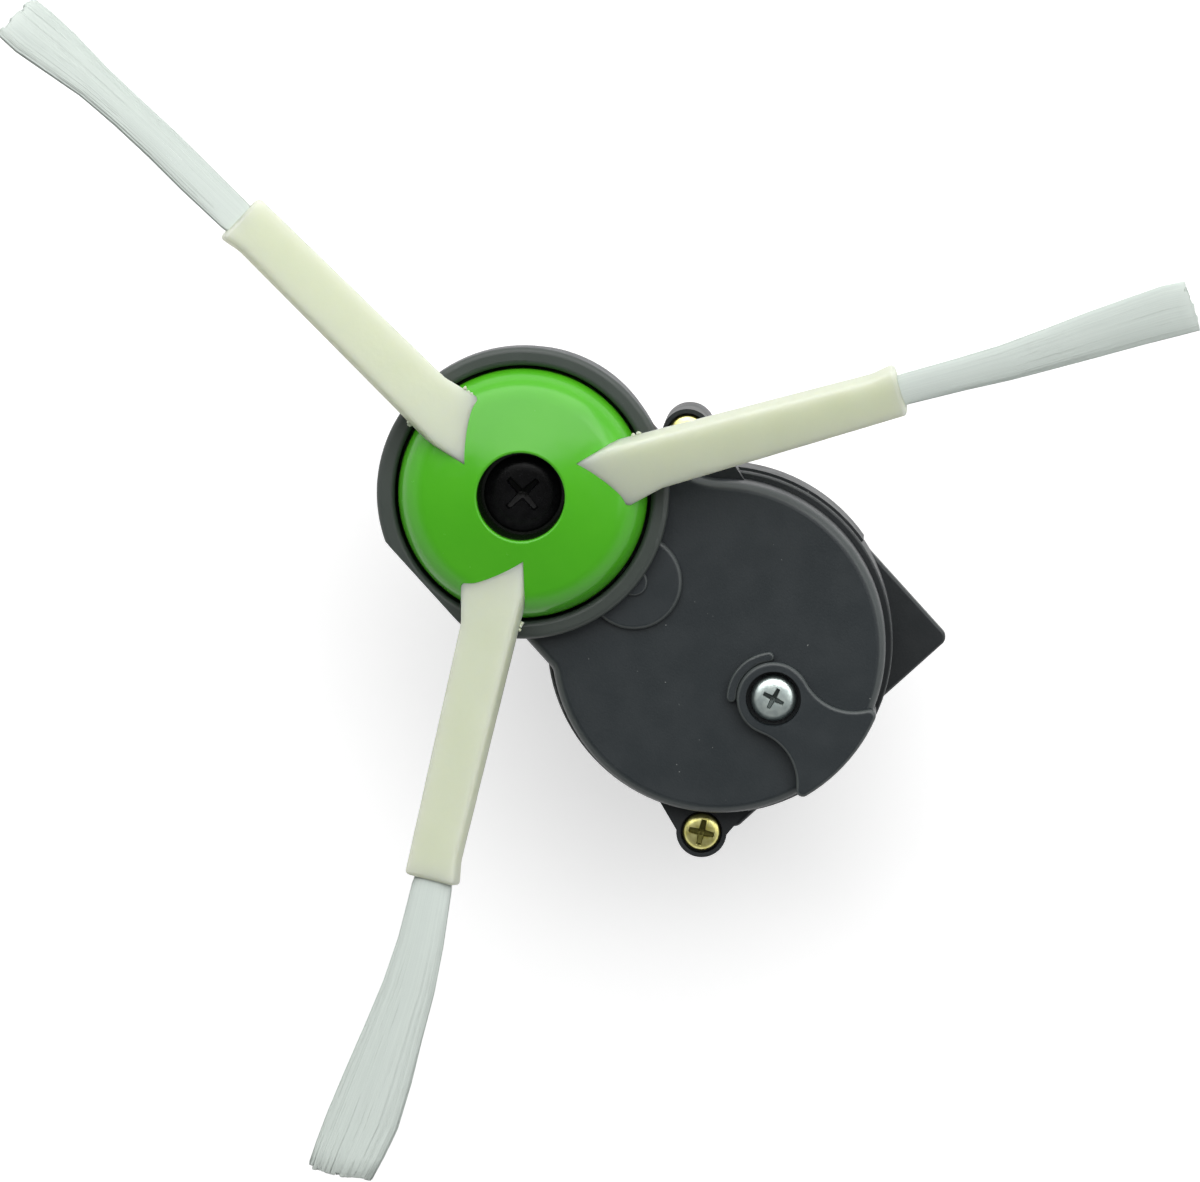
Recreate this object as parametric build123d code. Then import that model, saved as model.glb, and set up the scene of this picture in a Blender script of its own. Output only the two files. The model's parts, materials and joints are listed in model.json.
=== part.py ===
"""Robot vacuum side brush module: three-arm brush, gear train, motor and two-part housing.

Millimetres. The origin is on the mounting screw's axis, on the flange's seating face.
+Z runs along the brush axis towards the brush, +X towards the brush end of the housing.
"""

from build123d import *

import os
from math import acos, atan2, cos, degrees, hypot, pi, radians, sin, tan

os.makedirs("parts", exist_ok=True)

# Plan positions of the brush axis and of the round cover
BRUSH_X, BRUSH_Y = 41.6, 6.1
COVER_X, COVER_Y = 9.6, 1.0

# Gear train: teeth, modules, directions of the lines of centres and running gaps
PRESSURE = radians(25.0)
ADDENDUM, DEDENDUM = 0.9, 1.2
BACKLASH = 0.10
OUT_MODULE = 0.8
MID_MODULE = 0.6
IN_MODULE = 0.5
OUT_TEETH, OUT_PINION = 36, 10
MID_TEETH, MID_PINION = 30, 10
IN_TEETH, IN_PINION = 32, 10
OUT_TURN, MID_TURN, IN_TURN = 188.8, 165.0, -45.0
WHEEL_T = 3.0
OUT_GEAR_T = 3.2
GEAR_GAP = 0.3
RUNNING = 0.05
AXLE_R = 1.0
AXLE_BOSS_R = 2.2
AXLE_INSET = 0.3
AXLE_HOLD = 3.0

# Heights, each built up from the one below
DECK = 2.0
DECK_GAP = 0.4
REAR_WALL_H = 8.0
CUP_FLOOR_T = 1.6
CUP_FLOOR_GAP = 0.4
HUB_LIFT = 2.7
RING_PROUD = 3.4
COVER_DROP = 3.0
FLAG_H = 2.0

# Housing walls and plan sizes
WALL = 1.6
ROOF = 1.8
COVER_R = 21.7
RIM_LEDGE = 0.9
STEP_PROUD, STEP_DROP = 0.35, 2.0
STEP_FROM, STEP_TO = -97.0, -40.0
CUP_WALL = 1.2
RING_IN_R = 16.6
RING_LIP = 1.15
RING_DEPTH = 4.3
FLAT_WALL = 0.85
NECK_HIGH, NECK_LOW = 12.8, 17.1
CORNER_R = 1.5
NECK_SWEEP_R = 9.0
COVER_EDGE_R = 1.2
RING_EDGE_R = 0.7
PART_LINE_R = 0.3
TONGUE_T, TONGUE_H, TONGUE_GAP = 0.8, 1.2, 0.1
FLANGE_MIN_X, FLANGE_MAX_X = -10.7, 12.0
FLANGE_MIN_Y, FLANGE_MAX_Y = -21.1, 17.1
FLANGE_CORNER_R, FLANGE_EDGE_R = 1.2, 0.4

# Ears: each one's direction from the cover's centre and its reach past the rim
EARS = ((-33.5, 5.15), (132.5, 2.25))
EAR_R, EAR_H, EAR_SINK, EAR_FLARE = 3.3, 2.6, 1.4, 3.4
HEAD_CLEAR = 0.25

# Flagged boss of the mounting screw
BOSS_R = 4.8
FLAG_PROUD = 0.6
FLAG_TURN, FLAG_HALF = 186.6, 68.7
FLAG_SWEEP_R = 7.0
FLAG_CORNER_R = 0.9
FLAG_EDGE_R = 0.5
RIB_W, RIB_H, RIB_EDGE_R = 1.3, 1.5, 0.35
RIB_FROM, RIB_SPAN = -36.0, 82.0
SINK_R, SINK_DEPTH = 3.6, 2.7
TUBE_R, SCREW_HOLE_R = 3.2, 1.7
SEAT_PAD_WALL, SEAT_PAD_H = 1.4, 2.0

# Idler dome on the cover
DOME_R, DOME_H, DOME_EDGE_R = 6.3, 1.0, 0.6
DOME_PIN_R, DOME_PIN_H = 1.8, 0.6

# Motor and its tower
CAN_R, CAN_FLAT, CAN_WALL, CAN_L = 10.0, 7.5, 0.8, 17.5
CAP_T = 2.5
MOTOR_BOSS_R, MOTOR_BOSS_DROP = 3.0, 0.8
MOTOR_CLEAR = 0.25
SHAFT_R = 1.0
ROTOR_GAP, ROTOR_ROOM, ROTOR_SLOT = 0.5, 4.0, 1.4
MAGNET_GAP, MAGNET_HALF, MAGNET_ROOM = 0.6, 5.4, 2.8
COMMUTATOR_R, COMMUTATOR_GAP = 2.2, 0.8
TOWER_WALL = 1.6
TOWER_CORNER = 2.0
TOWER_ROOM = 1.0
LID_T = 1.8
MOTOR_SCREW_REACH, MOTOR_SCREW_TURN = 7.0, -10.0
CONTACT_L, CONTACT_W, CONTACT_T = 7.0, 3.0, 0.4
CONTACT_SINK, CONTACT_OFF = 0.3, 4.2

# Spindle, bush and washer
SPINDLE_R = 2.5
PIVOT_FLOOR = 1.0
BUSH_WALL, BUSH_PROUD = 1.5, 0.2
DRIVE, DRIVE_GAP = 3.5, 0.05
WASHER_T, WASHER_W, WASHER_GAP = 0.5, 2.0, 0.1

# Brush hub
HUB_GAP = 0.45
HUB_H = 9.0
SHOULDER_LIFT, SHOULDER_R, SHOULDER_SWEEP = 2.6, 5.0, radians(75.0)
WELL_RIM_R, WELL_DEPTH, WELL_GAP = 5.7, 6.8, 0.35
WELL_EDGE_R = 0.3
WEB_T = 1.5
HUB_BOSS_R = 6.4
HUB_SKIRT_T, HUB_RECESS = 1.7, 2.7

# Arms: where the top face starts, widens and ends, and its half widths to the left and right
ARM_ROOT, ARM_WIDEST, ARM_NECK, ARM_REACH = 7.8, 12.7, 17.6, 50.9
ARM_ROOT_LEFT, ARM_WIDE_LEFT, ARM_TIP_LEFT = 2.2, 3.0, 2.4
ARM_ROOT_RIGHT, ARM_WIDE_RIGHT, ARM_NECK_RIGHT, ARM_TIP_RIGHT = 4.6, 5.4, 4.2, 3.6
ARM_T, ARM_DROP = 3.4, 1.85
ARM_RISE, ARM_TWIST = radians(5.0), radians(15.0)
ARM_EDGE_R, ARM_END_R = 0.6, 1.3

# Bristle tufts
SOCKET_W, SOCKET_T, SOCKET_L = 3.4, 1.9, 5.0
TUFT_ROOT_T, TUFT_TIP_T = 2.2, 3.0
TUFT_COLLAR = 1.5
TUFT_WAIST, TUFT_WAIST_FLARE = 0.55, 0.3
TUFT_FLUTES, FLUTE_DEPTH = 10, 0.22
# Each arm's direction, then its tuft's length, root width, tip width, root offset and tip drift
ARMS = (
    (2.9, 38.6, 4.3, 8.2, 0.15, 1.0),
    (124.85, 39.6, 5.4, 10.6, 0.6, -3.2),
    (243.7, 38.8, 4.0, 7.4, 0.15, 0.7),
)

# Screws: the pan head's shape is the same for all
PAN_SIDE, PAN_CROWN, PAN_CROWN_AT = 0.45, 0.84, 0.78
RECESS_W, RECESS_L, RECESS_DEPTH = 0.24, 1.25, 0.6
MOUNT_HEAD_R, MOUNT_HEAD_H, MOUNT_NECK_R = 3.0, 2.1, 1.15
MOUNT_THREAD_R, MOUNT_FREE = 1.5, 8.0
CASE_HEAD_R, CASE_HEAD_H, CASE_THREAD_R, CASE_SCREW_L = 2.5, 1.6, 1.1, 8.0
SMALL_HEAD_R, SMALL_HEAD_H, SMALL_THREAD_R, SMALL_SCREW_L = 1.7, 1.0, 0.8, 5.0
BRUSH_HEAD_R, BRUSH_HEAD_H, BRUSH_THREAD_R, BRUSH_SCREW_L = 5.0, 1.8, 1.5, 8.0
TIP_CHAMFER = 0.5


def polar(radius, turn):
    """Point at a radius and an angle in degrees."""
    return radius * cos(radians(turn)), radius * sin(radians(turn))


def stepped(centre, turn, distance):
    """Point a distance away from a centre, in a direction in degrees."""
    dx, dy = polar(distance, turn)
    return centre[0] + dx, centre[1] + dy


def prism(sketch, low, high):
    """Sketch pulled up from one height to another."""
    return extrude(Pos(0, 0, low) * sketch, amount=high - low)


def rod(centre, radius, low, high):
    """Upright cylinder between two heights."""
    return prism(Pos(*centre) * Circle(radius), low, high)


def save(name, shape):
    """Write one node of the part."""
    export_step(shape, f"parts/{name}.step")


def involute(angle):
    """Involute of a pressure angle."""
    return tan(angle) - angle


def gear_outline(teeth, module, phase):
    """Spur gear outline with involute flanks, one tooth centred on the phase angle in degrees."""
    pitch_r = module * teeth / 2
    base_r = pitch_r * cos(PRESSURE)
    tip_r = pitch_r + ADDENDUM * module
    root_r = pitch_r - DEDENDUM * module
    flank_r = max(base_r, root_r)
    half_pitch = pi / (2 * teeth) - BACKLASH / (4 * pitch_r)

    def half_tooth(radius):
        return half_pitch + involute(PRESSURE) - involute(acos(min(1.0, base_r / radius)))

    def at(radius, angle):
        return polar(radius, degrees(angle))

    radii = (flank_r, (flank_r + tip_r) / 2, tip_r)
    foot = half_tooth(flank_r)
    edges = []
    for tooth in range(teeth):
        middle = radians(phase) + 2 * pi * tooth / teeth
        following = middle + 2 * pi / teeth
        rising = [at(r, middle - half_tooth(r)) for r in radii]
        falling = [at(r, middle + half_tooth(r)) for r in reversed(radii)]
        gap_start = at(root_r, middle + foot)
        gap_end = at(root_r, following - foot)
        edges.append(ThreePointArc(*rising))
        edges.append(Line(rising[2], falling[0]))
        edges.append(ThreePointArc(*falling))
        edges.append(Line(gap_start, gap_end))
        if flank_r > root_r:
            edges.append(Line(falling[2], gap_start))
            edges.append(Line(gap_end, at(flank_r, following - foot)))
    return make_face(edges)


def gear(centre, teeth, module, phase, low, high):
    """Solid spur gear in its place in the train."""
    return prism(Pos(*centre) * gear_outline(teeth, module, phase), low, high)


def cross_recess(head_r, head_h, top):
    """Cross-shaped driver recess cut down into a screw head's top."""
    bar = Pos(0, 0, top) * Box(head_r * RECESS_L, head_r * RECESS_W, 2 * head_h * RECESS_DEPTH)
    return bar + Rot(0, 0, 90) * bar


def pan_screw(head_r, head_h, neck_r, thread_r, neck_l, thread_l):
    """Pan-head screw along -Z with its head's underside at the origin."""
    tip = -neck_l - thread_l
    side = head_h * PAN_SIDE
    crown = (head_r * PAN_CROWN_AT, head_h * PAN_CROWN)
    stem = [(0, head_h), (0, tip), (thread_r - TIP_CHAMFER, tip), (thread_r, tip + TIP_CHAMFER)]
    if neck_l > 0:
        stem += [(thread_r, -neck_l), (neck_r, -neck_l)]
    with BuildPart() as screw:
        with BuildSketch(Plane.XZ):
            with BuildLine():
                Polyline(*stem, (neck_r, 0), (head_r, 0), (head_r, side))
                ThreePointArc((head_r, side), crown, (0, head_h))
            make_face()
        revolve(axis=Axis.Z)
    return screw.part - cross_recess(head_r, head_h, head_h)


def sunk_hole(head_r, head_h, thread_r, length):
    """Room for a countersunk screw along -Z, with its flat head's top at the origin."""
    head = Pos(0, 0, -head_h / 2) * Cone(thread_r, head_r, head_h)
    return head + Pos(0, 0, -(head_h + length) / 2) * Cylinder(thread_r, length - head_h)


def sunk_screw(head_r, head_h, thread_r, length):
    """Countersunk screw that fills its hole, with a cross recess in the head."""
    return sunk_hole(head_r, head_h, thread_r, length) - cross_recess(head_r, head_h, 0.0)


# Axes of the train
brush_axis = (BRUSH_X, BRUSH_Y)
cover_axis = (COVER_X, COVER_Y)
second_axis = stepped(brush_axis, OUT_TURN, OUT_MODULE * (OUT_TEETH + OUT_PINION) / 2)
first_axis = stepped(second_axis, MID_TURN, MID_MODULE * (MID_TEETH + MID_PINION) / 2)
motor_axis = stepped(first_axis, IN_TURN, IN_MODULE * (IN_TEETH + IN_PINION) / 2)

# Levels of the wheels, then of the housing and the hub above them
first_low = DECK + DECK_GAP
first_top = first_low + WHEEL_T
second_low = first_top + GEAR_GAP
second_top = second_low + WHEEL_T
third_low = second_top + GEAR_GAP
third_top = third_low + OUT_GEAR_T
part_line = DECK + REAR_WALL_H
cup_floor_low = third_top + CUP_FLOOR_GAP
cup_floor_top = cup_floor_low + CUP_FLOOR_T
hub_low = cup_floor_top + HUB_LIFT
ring_top = hub_low + RING_PROUD
cover_top = ring_top - COVER_DROP
roof_low = cover_top - ROOF
flag_top = cover_top + FLAG_H
screw_seat = flag_top - SINK_DEPTH
tower_low = -(CAN_L + CAP_T + TOWER_ROOM)
lid_low = tower_low - LID_T

# Radii that follow from their neighbours
rim_r = COVER_R + RIM_LEDGE
cup_wall_r = RING_IN_R + CUP_WALL
ring_out_r = cup_wall_r + RING_LIP
bush_r = SPINDLE_R + BUSH_WALL
ears = [stepped(cover_axis, turn, rim_r + past) for turn, past in EARS]


# Housing outlines
def case_outline(cover_r):
    """Plan outline of cover, neck and cup, with its inner corners rounded."""
    neck_mid = ((COVER_X + BRUSH_X) / 2, BRUSH_Y + (NECK_HIGH - NECK_LOW) / 2)
    outline = Pos(*cover_axis) * Circle(cover_r)
    outline += Pos(*neck_mid) * Rectangle(BRUSH_X - COVER_X, NECK_HIGH + NECK_LOW)
    outline += Location((BRUSH_X, BRUSH_Y, 0), (0, 0, 180)) * Circle(cup_wall_r)
    corners = outline.vertices().sort_by(Axis.Y)
    swept, plain = corners[:2].sort_by(Axis.X)
    outline = fillet([plain, *corners[2:]], CORNER_R)
    return fillet(outline.vertices().sort_by_distance(swept)[0], NECK_SWEEP_R)


def ear_tab(centre):
    """Ear with a flared neck that runs back to the cover's wall."""
    back = (COVER_X - centre[0], COVER_Y - centre[1])
    reach = hypot(*back) - COVER_R + WALL
    wide = EAR_R + EAR_FLARE
    neck = make_face(Polyline((0, EAR_R), (0, -EAR_R), (reach, -wide), (reach, wide), close=True))
    turn = degrees(atan2(back[1], back[0]))
    return Pos(*centre) * Circle(EAR_R) + Location((*centre, 0), (0, 0, turn)) * neck


def flag_outline():
    """Screw boss with a flag that sweeps out to the cover's rim between two tangent hollows."""
    flag_r = COVER_R + FLAG_PROUD
    reach = BOSS_R + FLAG_SWEEP_R
    first = polar(reach, FLAG_TURN + FLAG_HALF)
    second = polar(reach, FLAG_TURN - FLAG_HALF)
    far = [polar(2 * flag_r, FLAG_TURN + turn) for turn in (-FLAG_HALF, 0, FLAG_HALF)]
    wedge = make_face(Polyline((0, 0), *far, close=True))
    wedge = wedge & (Pos(*cover_axis) * Circle(flag_r))
    wedge -= Pos(*first) * Circle(FLAG_SWEEP_R)
    wedge -= Pos(*second) * Circle(FLAG_SWEEP_R)
    corners = wedge.vertices().sort_by(lambda v: hypot(v.X, v.Y))[-2:]
    wedge = fillet(corners, FLAG_CORNER_R)
    return wedge + Circle(BOSS_R)


def rounded_top(solid, radius):
    """Solid with the edge of its top face rounded over."""
    return fillet(solid.faces().sort_by(Axis.Z)[-1].edges(), radius)


front_outline = case_outline(COVER_R)
rear_outline = case_outline(rim_r)
room_outline = offset(front_outline, -WALL)
cup_flat = Pos(BRUSH_X, BRUSH_Y + RING_IN_R + FLAT_WALL + ring_out_r / 2, ring_top / 2)
cup_flat = cup_flat * Box(2 * ring_out_r, ring_out_r, 2 * ring_top)

# Front housing
front = rounded_top(prism(front_outline, part_line, cover_top), COVER_EDGE_R)
ring_band = Pos((RING_IN_R + ring_out_r) / 2, ring_top - RING_DEPTH / 2)
ring_section = ring_band * Rectangle(ring_out_r - RING_IN_R, RING_DEPTH)
ring_section = fillet(ring_section.vertices().sort_by(Axis.Y)[-2:], RING_EDGE_R)
front += Pos(*brush_axis) * revolve(Plane.XZ * ring_section, axis=Axis.Z)
front += rounded_top(prism(flag_outline(), part_line, flag_top), FLAG_EDGE_R)
rib = SlotArc(CenterArc((0, 0), BOSS_R + RIB_W / 2, RIB_FROM, RIB_SPAN), RIB_W)
front += rounded_top(prism(rib, roof_low, cover_top + RIB_H), RIB_EDGE_R)
dome_top = cover_top + DOME_H
front += rounded_top(rod(second_axis, DOME_R, roof_low, dome_top), DOME_EDGE_R)
front += rounded_top(rod(second_axis, DOME_PIN_R, roof_low, dome_top + DOME_PIN_H), DOME_PIN_H / 2)
for ear in ears:
    front += prism(ear_tab(ear), part_line, part_line + EAR_H)
front -= cup_flat
front -= prism(room_outline, part_line, cup_floor_low)
front -= prism(room_outline - Pos(*brush_axis) * Circle(cup_wall_r), cup_floor_low, roof_low)
front -= rod(brush_axis, RING_IN_R, cup_floor_top, 2 * ring_top)
front -= rod(brush_axis, bush_r, 0, cup_floor_top)
tongue = offset(front_outline, TONGUE_T - WALL) - room_outline
front += prism(tongue, part_line - TONGUE_H, part_line) - cup_flat
front += rod((0, 0), SINK_R + SEAT_PAD_WALL, roof_low - SEAT_PAD_H, roof_low)
front += rod((0, 0), TUBE_R, DECK, roof_low)
front += rod(first_axis, AXLE_BOSS_R, second_top + GEAR_GAP, roof_low)
front += rod(second_axis, AXLE_BOSS_R, third_top + GEAR_GAP, roof_low)
front -= rod((0, 0), SINK_R, screw_seat, 2 * flag_top)
front -= rod((0, 0), SCREW_HOLE_R, 0, screw_seat)
for ear in ears:
    front -= rod(ear, CASE_HEAD_R + HEAD_CLEAR, part_line + EAR_H - EAR_SINK, cover_top)
    front -= rod(ear, CASE_THREAD_R, 0, part_line + EAR_H)

# Axles
first_axle = rod(first_axis, AXLE_R, AXLE_INSET, second_top + GEAR_GAP + AXLE_HOLD)
second_axle = rod(second_axis, AXLE_R, AXLE_INSET, third_top + GEAR_GAP + AXLE_HOLD)
front = front - first_axle - second_axle
save("front_housing", front)
save("first_gear_axle", first_axle)
save("second_gear_axle", second_axle)

# Rear housing
flange_mid = ((FLANGE_MIN_X + FLANGE_MAX_X) / 2, (FLANGE_MIN_Y + FLANGE_MAX_Y) / 2)
flange_size = (FLANGE_MAX_X - FLANGE_MIN_X, FLANGE_MAX_Y - FLANGE_MIN_Y)
flange_outline = Pos(*flange_mid) * RectangleRounded(*flange_size, FLANGE_CORNER_R)
tower_size = (2 * (CAN_R + MOTOR_CLEAR + TOWER_WALL), 2 * (CAN_FLAT + MOTOR_CLEAR + TOWER_WALL))
tower_outline = Pos(*motor_axis) * RectangleRounded(*tower_size, TOWER_CORNER)


def motor_outline(grow):
    """Flat-sided round outline of the motor, grown or shrunk."""
    slab = Rectangle(4 * CAN_R, 2 * (CAN_FLAT + grow))
    return Pos(*motor_axis) * (Circle(CAN_R + grow) & slab)


step_arc = CenterArc(cover_axis, rim_r + STEP_PROUD, STEP_FROM, STEP_TO - STEP_FROM)
step_outline = make_face([step_arc, Polyline(step_arc @ 1, cover_axis, step_arc @ 0)])
rear = rounded_top(prism(flange_outline, 0, DECK), FLANGE_EDGE_R)
rear += rounded_top(prism(rear_outline, 0, part_line), PART_LINE_R)
rear += prism(step_outline, 0, part_line - STEP_DROP)
rear += prism(tower_outline, tower_low, 0)
for ear in ears:
    rear += prism(ear_tab(ear), 0, part_line)
rear -= cup_flat
rear -= prism(room_outline, DECK, part_line)
rebate = offset(front_outline, TONGUE_T + TONGUE_GAP - WALL)
rear -= prism(rebate, part_line - TONGUE_H - TONGUE_GAP, part_line)
rear -= prism(motor_outline(MOTOR_CLEAR), tower_low, 0)
rear -= rod(motor_axis, MOTOR_BOSS_R + MOTOR_CLEAR, 0, DECK)
rear += rod(brush_axis, bush_r, DECK, third_low - GEAR_GAP)
rear -= rod(brush_axis, SPINDLE_R + RUNNING, DECK + PIVOT_FLOOR, third_low)
rear += rod(second_axis, AXLE_BOSS_R, DECK, second_low - GEAR_GAP)
rear -= rod((0, 0), SCREW_HOLE_R, 0, DECK)
for ear in ears:
    rear -= rod(ear, CASE_THREAD_R, part_line + EAR_H - EAR_SINK - CASE_SCREW_L, part_line)
rear = rear - first_axle - second_axle

# Motor
motor_boss_top = DECK - MOTOR_BOSS_DROP
can = prism(motor_outline(0), -CAN_L, 0) - prism(motor_outline(-CAN_WALL), -CAN_L, -CAN_WALL)
can += rod(motor_axis, MOTOR_BOSS_R, -CAN_WALL, motor_boss_top)
can -= rod(motor_axis, SHAFT_R + RUNNING, -CAN_L, motor_boss_top)
end_cap = prism(motor_outline(0), -CAN_L - CAP_T, -CAN_L)
end_cap -= rod(motor_axis, SHAFT_R + RUNNING, -CAN_L - CAP_T, -CAN_L)
shaft = rod(motor_axis, SHAFT_R, -CAN_L - CAP_T + GEAR_GAP, first_top - GEAR_GAP)
rotor_r = CAN_FLAT - CAN_WALL - ROTOR_GAP
magnet_band = Circle(CAN_R - CAN_WALL) - Circle(rotor_r + MAGNET_GAP)
magnet_band = magnet_band & Rectangle(4 * CAN_R, 2 * MAGNET_HALF)
magnets = prism(Pos(*motor_axis) * magnet_band, MAGNET_ROOM - CAN_L, -CAN_WALL - MAGNET_ROOM)
core_outline = Circle(rotor_r)
for pole in range(3):
    slot = Pos(rotor_r, 0) * Rectangle(rotor_r, ROTOR_SLOT)
    core_outline -= Rot(0, 0, 120 * pole) * slot
rotor = prism(Pos(*motor_axis) * core_outline, ROTOR_ROOM - CAN_L, -CAN_WALL - ROTOR_ROOM)
rotor += rod(motor_axis, COMMUTATOR_R, COMMUTATOR_GAP - CAN_L, ROTOR_ROOM - CAN_L)
rotor -= shaft
motor_screws = []
motor_screw_sizes = (SMALL_HEAD_R, SMALL_HEAD_H, SMALL_THREAD_R, DECK + CAN_WALL)
for side in (0, 180):
    place = Pos(*stepped(motor_axis, MOTOR_SCREW_TURN + side, MOTOR_SCREW_REACH), DECK)
    motor_screws.append(place * sunk_screw(*motor_screw_sizes))
    rear -= place * sunk_hole(*motor_screw_sizes)
    can -= place * sunk_hole(*motor_screw_sizes)
save("motor_can", can)
save("motor_end_cap", end_cap)
save("motor_shaft", shaft)
save("motor_magnets", magnets)
save("motor_rotor", rotor)
save("motor_screws", Compound(children=motor_screws))

# Motor tower lid, its screws and the contacts
lid = prism(tower_outline, lid_low, tower_low)
lid_screws = []
lid_screw_sizes = (SMALL_HEAD_R, SMALL_HEAD_H, SMALL_THREAD_R, SMALL_SCREW_L)
for side in (1, -1):
    corner_x = motor_axis[0] + side * (tower_size[0] / 2 - TOWER_CORNER)
    corner_y = motor_axis[1] - side * (tower_size[1] / 2 - TOWER_CORNER)
    place = Pos(corner_x, corner_y, lid_low) * Rot(180, 0, 0)
    lid_screws.append(place * sunk_screw(*lid_screw_sizes))
    lid -= place * sunk_hole(*lid_screw_sizes)
    rear -= place * sunk_hole(*lid_screw_sizes)
contacts = []
for side in (1, -1):
    pad_y = motor_axis[1] + side * CONTACT_OFF
    pad_low = lid_low + CONTACT_SINK
    pad = Pos(motor_axis[0], pad_y, pad_low + CONTACT_T / 2) * Box(CONTACT_L, CONTACT_W, CONTACT_T)
    leg_h = -CAN_L - CAP_T - pad_low
    leg_x = motor_axis[0] + CONTACT_L / 2 - CONTACT_T / 2
    leg = Pos(leg_x, pad_y, pad_low + leg_h / 2) * Box(CONTACT_T, CONTACT_W, leg_h)
    contacts.append(pad + leg)
    pocket_h = CONTACT_SINK + CONTACT_T
    pocket = Pos(motor_axis[0], pad_y, lid_low + pocket_h / 2) * Box(CONTACT_L, CONTACT_W, pocket_h)
    lid = lid - pocket - leg
save("rear_housing", rear)
save("motor_cover", lid)
save("motor_cover_screws", Compound(children=lid_screws))
save("contact_strips", Compound(children=contacts))

# Gears: on each line of centres the pinion has a tooth and the wheel a gap
pinion = gear(motor_axis, IN_PINION, IN_MODULE, IN_TURN + 180, first_low, first_top) - shaft
first_gear = gear(first_axis, IN_TEETH, IN_MODULE, IN_TURN + 180 / IN_TEETH, first_low, first_top)
first_gear += gear(first_axis, MID_PINION, MID_MODULE, MID_TURN + 180, first_top, second_top)
first_gear -= rod(first_axis, AXLE_R + RUNNING, 0, cover_top)
second_gear = gear(second_axis, MID_TEETH, MID_MODULE, MID_TURN + 180 / MID_TEETH, second_low, second_top)
second_gear += gear(second_axis, OUT_PINION, OUT_MODULE, OUT_TURN + 180, second_top, third_top)
second_gear -= rod(second_axis, AXLE_R + RUNNING, 0, cover_top)
output_gear = gear(brush_axis, OUT_TEETH, OUT_MODULE, OUT_TURN + 180 / OUT_TEETH, third_low, third_top)
output_gear -= rod(brush_axis, SPINDLE_R, 0, cover_top)
save("motor_pinion", pinion)
save("first_gear", first_gear)
save("second_gear", second_gear)
save("output_gear", output_gear)

# Spindle, bush and washer
bush_top = cup_floor_top + BUSH_PROUD
washer_low = bush_top + WASHER_GAP
hub_boss_low = washer_low + WASHER_T
well_rim = hub_low + HUB_H
well_floor = well_rim - WELL_DEPTH
web_low = well_floor - WEB_T
spindle = rod(brush_axis, SPINDLE_R, DECK + PIVOT_FLOOR + GEAR_GAP, bush_top)
spindle += prism(Pos(*brush_axis) * Rectangle(DRIVE, DRIVE), bush_top, web_low - GEAR_GAP)
bush = rod(brush_axis, bush_r, third_top + GEAR_GAP, bush_top)
bush -= rod(brush_axis, SPINDLE_R + RUNNING, 0, bush_top)
washer = rod(brush_axis, SPINDLE_R + WASHER_W, washer_low, hub_boss_low)
washer -= rod(brush_axis, SPINDLE_R + RUNNING, washer_low, hub_boss_low)

# Brush screw
brush_screw = pan_screw(BRUSH_HEAD_R, BRUSH_HEAD_H, BRUSH_THREAD_R, BRUSH_THREAD_R, 0, BRUSH_SCREW_L)
brush_screw = Pos(*brush_axis, well_floor) * brush_screw
spindle -= rod(brush_axis, BRUSH_THREAD_R, well_floor - BRUSH_SCREW_L, well_floor)
save("output_spindle", spindle)
save("output_bushing", bush)
save("spindle_washer", washer)
save("brush_screw", brush_screw)

# Hub: a domed bell turned about the brush axis
hub_r = RING_IN_R - HUB_GAP
shoulder = (hub_r - SHOULDER_R, hub_low + SHOULDER_LIFT)


def on_shoulder(sweep):
    """Point on the hub's rounded shoulder, swept up from its side."""
    return shoulder[0] + SHOULDER_R * cos(sweep), shoulder[1] + SHOULDER_R * sin(sweep)


crown_way = (-sin(SHOULDER_SWEEP), cos(SHOULDER_SWEEP))
with BuildPart() as hub_builder:
    with BuildSketch(Plane.XZ) as hub_section:
        with BuildLine():
            Polyline(
                (WELL_RIM_R, well_rim),
                (BRUSH_HEAD_R + WELL_GAP, well_floor),
                (BRUSH_THREAD_R + DRIVE_GAP, well_floor),
                (BRUSH_THREAD_R + DRIVE_GAP, hub_boss_low),
                (HUB_BOSS_R, hub_boss_low),
                (HUB_BOSS_R, hub_low + HUB_RECESS),
                (hub_r - HUB_SKIRT_T, hub_low + HUB_RECESS),
                (hub_r - HUB_SKIRT_T, hub_low),
                (hub_r, hub_low),
                on_shoulder(0),
            )
            ThreePointArc(on_shoulder(0), on_shoulder(SHOULDER_SWEEP / 2), on_shoulder(SHOULDER_SWEEP))
            TangentArc(on_shoulder(SHOULDER_SWEEP), (WELL_RIM_R, well_rim), tangent=crown_way)
        make_face()
        fillet(hub_section.vertices().sort_by(Axis.Y)[-1], WELL_EDGE_R)
    revolve(axis=Axis.Z)
hub = Pos(*brush_axis) * hub_builder.part
socket = Rectangle(DRIVE + 2 * DRIVE_GAP, DRIVE + 2 * DRIVE_GAP)
hub -= prism(Pos(*brush_axis) * socket, hub_boss_low, web_low)


def arm_plane(turn):
    """Plane of an arm's top face: outward along the arm, rising and twisted so its left side is high."""
    flat_x, flat_y = polar(1, turn)
    along = Vector(flat_x * cos(ARM_RISE), flat_y * cos(ARM_RISE), sin(ARM_RISE))
    upright = Vector(-flat_x * sin(ARM_RISE), -flat_y * sin(ARM_RISE), cos(ARM_RISE))
    left = upright.cross(along)
    normal = upright * cos(ARM_TWIST) - left * sin(ARM_TWIST)
    return Plane(origin=(BRUSH_X, BRUSH_Y, well_rim - ARM_DROP), x_dir=along, z_dir=normal)


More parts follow.
